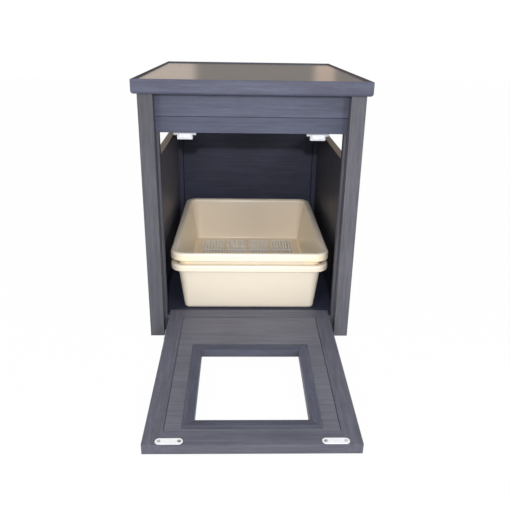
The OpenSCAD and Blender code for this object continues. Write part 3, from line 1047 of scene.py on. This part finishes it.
@dataclass
class Tray:
    """A moulded tray with a rolled rim, leaning walls and a rounded bottom edge."""

    name: str
    node: str
    body: str
    skirt: float
    width: float = 364 * MM
    depth: float = 455 * MM
    height: float = 121 * MM
    rim: float = 13 * MM
    rim_corner: float = 34 * MM
    wall_corner: float = 27 * MM
    lean: float = 0.128
    wall: float = 2.2 * MM
    bottom: float = 9 * MM
    outer_roll: float = 5.5 * MM
    inner_roll: float = 7.0 * MM
    lip_in: float = 0.7 * MM
    lip_up: float = 0.8 * MM
    corner_steps: int = 12
    roll_steps: int = 6
    slope_steps: int = 5
    wall_marks: Point = (0.35, 0.7, 1.0)

    def middle(self) -> Vector:
        """The point under the middle of the tray, at the height of its underside."""
        low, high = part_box(self.node)
        return Vector(((low.x + high.x) / 2, (low.y + high.y) / 2, low.z))

    def ring(self, inward: float, corner: float, z: float) -> Ring:
        """A level loop of the tray.

        Args:
            inward: Its distance inside the rim's outer edge.
            corner: Its corner radius.
            z: Its height above the underside.

        Returns:
            The loop.
        """
        return Ring(self.width / 2 - inward, self.depth / 2 - inward, corner, z)

    def inner_ring(self, inward: float, z: float) -> Ring:
        """A level loop of the inner wall, which has the same middles for its corners.

        Args:
            inward: Its distance inside the rim's outer edge.
            z: Its height above the underside.

        Returns:
            The loop.
        """
        corner = self.wall_corner - self.wall + (self.rim + self.wall - inward)
        return self.ring(inward, corner, z)

    def upper_rings(self) -> list[Ring]:
        """Loops from the skirt's lower lip over the rim and down to the floor."""
        made = [self.ring(0.0, self.rim_corner, self.height - self.skirt + self.lip_up)]
        roll = self.outer_roll
        for a in turns(math.pi / 2, self.roll_steps):
            inward = roll * (1 - math.cos(a))
            z = self.height - roll * (1 - math.sin(a))
            made.append(self.ring(inward, self.rim_corner - inward, z))
        top_in = self.rim + self.wall
        roll = self.inner_roll
        tilt = math.atan(self.lean)
        for a in turns(math.pi / 2 - tilt, self.slope_steps):
            inward = top_in - roll * (math.cos(tilt) - math.sin(a))
            z = self.height - roll * (1 - math.cos(a))
            made.append(self.inner_ring(inward, z))
        start = made[-1]
        floor_r = self.bottom - self.wall
        for share in self.wall_marks:
            z = start.z + (self.bottom - start.z) * share
            inward = top_in + self.lean * (self.height - z)
            made.append(self.inner_ring(inward, z))
        foot = top_in + self.lean * (self.height - self.bottom)
        for a in turns(math.pi / 2, self.roll_steps, first=1):
            inward = foot + floor_r * (1 - math.cos(a))
            z = self.bottom - floor_r * math.sin(a)
            made.append(self.inner_ring(inward, z))
        return made

    def lower_rings(self) -> list[Ring]:
        """Loops from the skirt's lower lip up inside it and down the outer wall."""
        t, lip, bend = self.wall, self.lip_in, 2.2 * self.wall
        low = self.height - self.skirt
        made = [
            self.ring(lip, self.rim_corner - lip, low),
            self.ring(t - lip, self.rim_corner - t + lip, low),
            self.ring(t, self.rim_corner - t, low + self.lip_up),
            self.ring(t, self.rim_corner - t, self.height - self.outer_roll),
            self.ring(bend, self.rim_corner - bend, self.height - t - 0.6 * MM),
            self.ring(self.rim - t, self.wall_corner + t, self.height - t - 0.2 * MM),
            self.ring(self.rim, self.wall_corner, self.height - 2 * t),
        ]
        for z in (self.height * 0.6, self.bottom):
            inward = self.lean * (self.height - z)
            made.append(self.ring(self.rim + inward, self.wall_corner - inward, z))
        foot = self.lean * (self.height - self.bottom)
        for a in turns(math.pi / 2, self.roll_steps, first=1):
            inward = foot + self.bottom * (1 - math.cos(a))
            z = self.bottom * (1 - math.sin(a))
            made.append(self.ring(self.rim + inward, self.wall_corner - inward, z))
        return made

    def shell(self, draft: Draft) -> tuple[Loop, Loop]:
        """Adds the walls and the rim.

        Args:
            draft: The mesh to add to.

        Returns:
            The loops around the floor's upper and lower face.
        """
        upper = [draft.loop(r.points(self.corner_steps)) for r in self.upper_rings()]
        lower = [draft.loop(r.points(self.corner_steps)) for r in self.lower_rings()]
        draft.skin(*upper)
        draft.skin(upper[0], lower[0])
        draft.skin(*lower)
        return upper[-1], lower[-1]

    def floor(self, draft: Draft, upper: Loop, lower: Loop) -> None:
        """Closes the floor's two faces.

        Args:
            draft: The mesh to add to.
            upper: The loop around the upper face.
            lower: The loop around the lower face.
        """
        draft.mesh.faces.new(upper)
        draft.mesh.faces.new(list(reversed(lower)))

    def build(self, palette: Palette) -> None:
        """Builds the tray.

        Args:
            palette: The cabinet's finishes.
        """
        draft = Draft()
        self.floor(draft, *self.shell(draft))
        self.extras(draft)
        place = Matrix.Translation(self.middle())
        piece = draft.finish(self.name, palette.one(self.finish()), place)
        add(piece, self.body, "tray_plastic", self.node)

    def finish(self) -> MouldedPlastic:
        """The tray's finish."""
        return BEIGE

    def extras(self, draft: Draft) -> None:
        """Adds what a tray has besides its shell and its floor: a plain one, nothing.

        Args:
            draft: The mesh to add to.
        """


@dataclass
class SiftingTray(Tray):
    """The upper tray: slots in its floor, and lugs that stand on the lower tray's rim."""

    groups: int = 4
    group_pitch: float = 66 * MM
    slots: int = 7
    slot_pitch: float = 8.5 * MM
    rows: int = 5
    row_pitch: float = 74 * MM
    slot_w: float = 3.8 * MM
    slot_l: float = 68 * MM
    slot_soft: float = 0.35 * MM
    slot_steps: int = 4
    lug_y: float = 120 * MM
    lug_w: float = 20 * MM
    lug_reach: Span = (167.2 * MM, 177.8 * MM)
    lug_gap: float = 0.1 * MM
    lug_soft: float = 0.6 * MM
    nest_lift: float = 29 * MM

    def finish(self) -> MouldedPlastic:
        """The tray's finish, which follows its floor, its rim and its slots."""
        at = self.middle()
        return SlottedPlastic(
            "sifter_plastic",
            BEIGE.colour,
            BEIGE.deep,
            BEIGE.roughness,
            middle_y=at.y,
            floor_z=at.z + self.wall,
            top_z=at.z + self.height,
            pitch=self.group_pitch,
        )

    def slot_outline(self, x: float, y: float, grow: float) -> list[Flat]:
        """A slot's outline, with round ends.

        Args:
            x: The slot's middle across.
            y: The slot's middle from front to rear.
            grow: How far the outline lies outside the slot.

        Returns:
            The outline's corners.
        """
        r = self.slot_w / 2 + grow
        reach = self.slot_l / 2 - self.slot_w / 2
        made = []
        for end, start in ((1, 0.0), (-1, math.pi)):
            for turn in turns(math.pi, self.slot_steps):
                a = start + turn
                made.append((x + r * math.cos(a), y + end * reach + r * math.sin(a)))
        return made

    def slot_places(self) -> list[Flat]:
        """The slots' middles."""
        xs = [
            (g - (self.groups - 1) / 2) * self.group_pitch
            + (i - (self.slots - 1) / 2) * self.slot_pitch
            for g in range(self.groups)
            for i in range(self.slots)
        ]
        ys = [(j - (self.rows - 1) / 2) * self.row_pitch for j in range(self.rows)]
        return [(x, y) for x in xs for y in ys]

    def floor(self, draft: Draft, upper: Loop, lower: Loop) -> None:
        """See Tray: here the faces go around the slots, which get walls of their own."""
        soft = self.slot_soft
        rims: tuple[list[Loop], list[Loop]] = ([], [])
        for x, y in self.slot_places():
            wide, exact = self.slot_outline(x, y, soft), self.slot_outline(x, y, 0.0)
            rows = ((wide, self.wall), (exact, self.wall - soft), (exact, 0.0))
            top, edge, foot = (draft.level(outline, z) for outline, z in rows)
            draft.skin(top, edge, foot)
            rims[0].append(top)
            rims[1].append(foot)
        for around, holes in ((upper, rims[0]), (lower, rims[1])):
            edges = []
            for ring in [around, *holes]:
                for a, b in zip(ring, ring[1:] + ring[:1]):
                    found = draft.mesh.edges.get((a, b)) or draft.mesh.edges.new((a, b))
                    edges.append(found)
            bmesh.ops.triangle_fill(draft.mesh, use_beauty=True, edges=edges)

    def extras(self, draft: Draft) -> None:
        """See Tray: here the lugs under the rim."""
        low = self.height - self.nest_lift
        high = self.height - self.wall - self.lug_gap
        near, far = self.lug_reach
        for side in Side:
            for y in (-self.lug_y, self.lug_y):
                a, b = sorted((side.value * near, side.value * far))
                c, d = y - self.lug_w / 2, y + self.lug_w / 2
                outline = [(a, c), (b, c), (b, d), (a, d)]
                draft.prism(outline, low, high, self.lug_soft)


# ---- camera, floor and light -------------------------------------------------


SIDE_POWER = {Side.LEFT: 3.6, Side.RIGHT: 5.6}


@dataclass
class Studio:
    """A white floor, soft light and the camera."""

    lens: float = 39.953
    sensor: float = 36.0
    eye: Point = (-0.023103, -1.239758, 0.65302)
    yaw: float = math.radians(1.662)
    pitch: float = math.radians(21.817)
    roll: float = math.radians(0.932)
    key_at: Point = (-0.022, -1.58, 0.842)
    key_size: float = 0.03
    key_power: float = 5.6
    side_at: Point = (0.8, -1.5, 0.85)
    side_size: float = 0.25
    fill_power: float = 31.0
    fill_cone: float = math.radians(30)
    fill_to: Point = (0.0, 0.1, 0.12)
    lamps_to: Point = (0.0, 0.1, 0.25)
    sky: float = 0.71
    floor_size: float = 14.0
    floor_cells: int = 14
    floor_colour: Colour = (0.88, 0.88, 0.88)
    floor_glow: float = 0.98
    # Half the width, the front and the rear of the ground that the cabinet hides.
    footprint: Point = (0.222, -0.104, 0.484)
    footprint_soft: float = 6 * MM
    doorway: float = 194 * MM
    doorway_soft: float = 1 * MM
    doorstep: Span = (-26 * MM, -14 * MM)
    # Cards low behind the cabinet: where they meet is x for each unit of y.
    card_left: Colour = (0.73, 0.62, 0.53)
    card_middle: Colour = (0.30, 0.27, 0.245)
    card_strip: Colour = (0.72, 0.56, 0.46)
    middle_from: Span = (-0.088, -0.066)
    strip_from: Span = (0.116, 0.134)
    strip_to: Span = (0.152, 0.166)
    cards_ahead: Span = (0.3, 0.7)
    cards_above: Span = (0.30, 0.55)
    least_ahead: float = 0.05

    def camera(self) -> None:
        """Places the camera."""
        data = bpy.data.cameras.new("camera")
        data.lens = self.lens
        data.sensor_width = self.sensor
        cam = bpy.data.objects.new("camera", data)
        bpy.context.scene.collection.objects.link(cam)
        ahead = Vector(
            (
                math.sin(self.yaw) * math.cos(self.pitch),
                math.cos(self.yaw) * math.cos(self.pitch),
                -math.sin(self.pitch),
            )
        )
        right = Vector((math.cos(self.yaw), -math.sin(self.yaw), 0.0))
        up = right.cross(ahead)
        across = right * math.cos(self.roll) + up * math.sin(self.roll)
        over = up * math.cos(self.roll) - right * math.sin(self.roll)
        turn = Matrix((across, over, -ahead)).transposed().to_4x4()
        cam.matrix_world = Matrix.Translation(self.eye) @ turn
        bpy.context.scene.camera = cam
        LOG.info("camera placed")

    def seen(self, s: Shader) -> tuple[Wire, Wire]:
        """Which rays see a surround at its full white.

        Args:
            s: The shader of the surround.

        Returns:
            1 for camera, glossy and transmission rays, and 1 for glossy rays alone.
        """
        camera = s.node("ShaderNodeLightPath")
        glossy = camera.out("Is Glossy Ray")
        return (camera + glossy + camera.out("Is Transmission Ray")).clamped(), glossy

    def floor(self) -> None:
        """Lays the floor, white to the camera but with the cabinet's shadow on it."""
        draft = Draft()
        cells = self.floor_cells
        marks = [(i / cells - 0.5) * self.floor_size for i in range(cells + 1)]
        rows = [draft.loop((x, y, 0.0) for x in marks) for y in marks]
        draft.skin(*rows, closed=False)
        made = bpy.data.materials.new("studio_floor")
        s = Shader(made)
        seen, _ = self.seen(s)
        x, y, _ = s.axes(s.place())
        half, front, rear = self.footprint
        soft, edge = self.footprint_soft, self.doorway_soft
        wide = (1.0 - x.size().ramp(half - soft, half)) * y.ramp(front, front + soft)
        slim = 1.0 - x.size().ramp(self.doorway - edge, self.doorway + edge)
        slim = slim * y.ramp(*(front + step for step in self.doorstep))
        below = (wide + slim).clamped() * (1.0 - y.ramp(rear - soft, rear))
        lit = s.node("ShaderNodeBsdfDiffuse", {"Color": (*self.floor_colour, 1.0)})
        white = s.node("ShaderNodeEmission", {"Color": (1.0, 1.0, 1.0, 1.0)})
        share = seen * (1.0 - below) * self.floor_glow
        both = s.node("ShaderNodeMixShader", {0: share, 1: lit, 2: white})
        s.end("ShaderNodeOutputMaterial", both)
        ground = draft.finish("studio_floor", made)
        ground.modifiers.clear()

    def world(self) -> None:
        """Sets a white surround that lights the cabinet at a plain level.

        Low behind the cabinet it holds dim cards that only gloss sees.
        """
        made = bpy.data.worlds.new("studio")
        bpy.context.scene.world = made
        s = Shader(made)
        seen, glossy = self.seen(s)
        x, y, z = s.axes(s.node("ShaderNodeTexCoord").out("Generated"))
        across = x / y.at_least(self.least_ahead)
        card = s.blend(across.ramp(*self.middle_from), self.card_left, self.card_middle)
        strip = across.ramp(*self.strip_from) * (1.0 - across.ramp(*self.strip_to))
        card = s.blend(strip, card, self.card_strip)
        low = y.ramp(*self.cards_ahead) * (1.0 - z.ramp(*self.cards_above)) * glossy
        colour = s.blend(low, (1.0, 1.0, 1.0), card)
        strength = seen * (1.0 - self.sky) + self.sky
        back = s.node("ShaderNodeBackground", {"Color": colour, "Strength": strength})
        s.end("ShaderNodeOutputWorld", back)

    def lamp(self, name: str, at: Point, to: Point, kind: str, **settings: float) -> None:
        """Adds a lamp.

        Args:
            name: Its name.
            at: Where it stands.
            to: What it points at.
            kind: AREA for a square soft light, SPOT for a cone.
            settings: Its power in watts, and its size or cone.
        """
        data = bpy.data.lights.new(name, kind)
        for key, value in settings.items():
            setattr(data, key, value)
        made = bpy.data.objects.new(name, data)
        made.location = at
        made.rotation_euler = (Vector(to) - Vector(at)).to_track_quat("-Z", "Y").to_euler()
        bpy.context.scene.collection.objects.link(made)

    def build(self) -> None:
        """Places camera, floor and lights."""
        self.camera()
        self.floor()
        self.world()
        key = {"size": self.key_size, "energy": self.key_power}
        self.lamp("key", self.key_at, self.lamps_to, "AREA", **key)
        x, y, z = self.side_at
        for side, power in SIDE_POWER.items():
            at = (side.value * x, y, z)
            flank = {"size": self.side_size, "energy": power}
            self.lamp(f"side_{side.word}", at, self.lamps_to, "AREA", **flank)
        fill = {
            "energy": self.fill_power,
            "spot_size": self.fill_cone,
            "spot_blend": 1.0,
            "shadow_soft_size": self.key_size / 2,
        }
        self.lamp("fill", self.key_at, self.fill_to, "SPOT", **fill)
        bpy.context.scene.view_settings.view_transform = "Standard"
        LOG.info("studio built")


def main() -> None:
    """Builds the cabinet's looks in order."""
    logging.basicConfig(level=logging.INFO, format="%(message)s")
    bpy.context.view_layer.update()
    Studio().build()
    palette = Palette()
    Carcass(palette).build()
    Door(palette).build()
    Catches(palette).build()
    Tray("pan_shell", "litter_pan", "pan", skirt=15 * MM).build(palette)
    SiftingTray("sifter_shell", "sifting_tray", "sifter", skirt=18 * MM).build(palette)


if __name__ == "__main__":
    main()
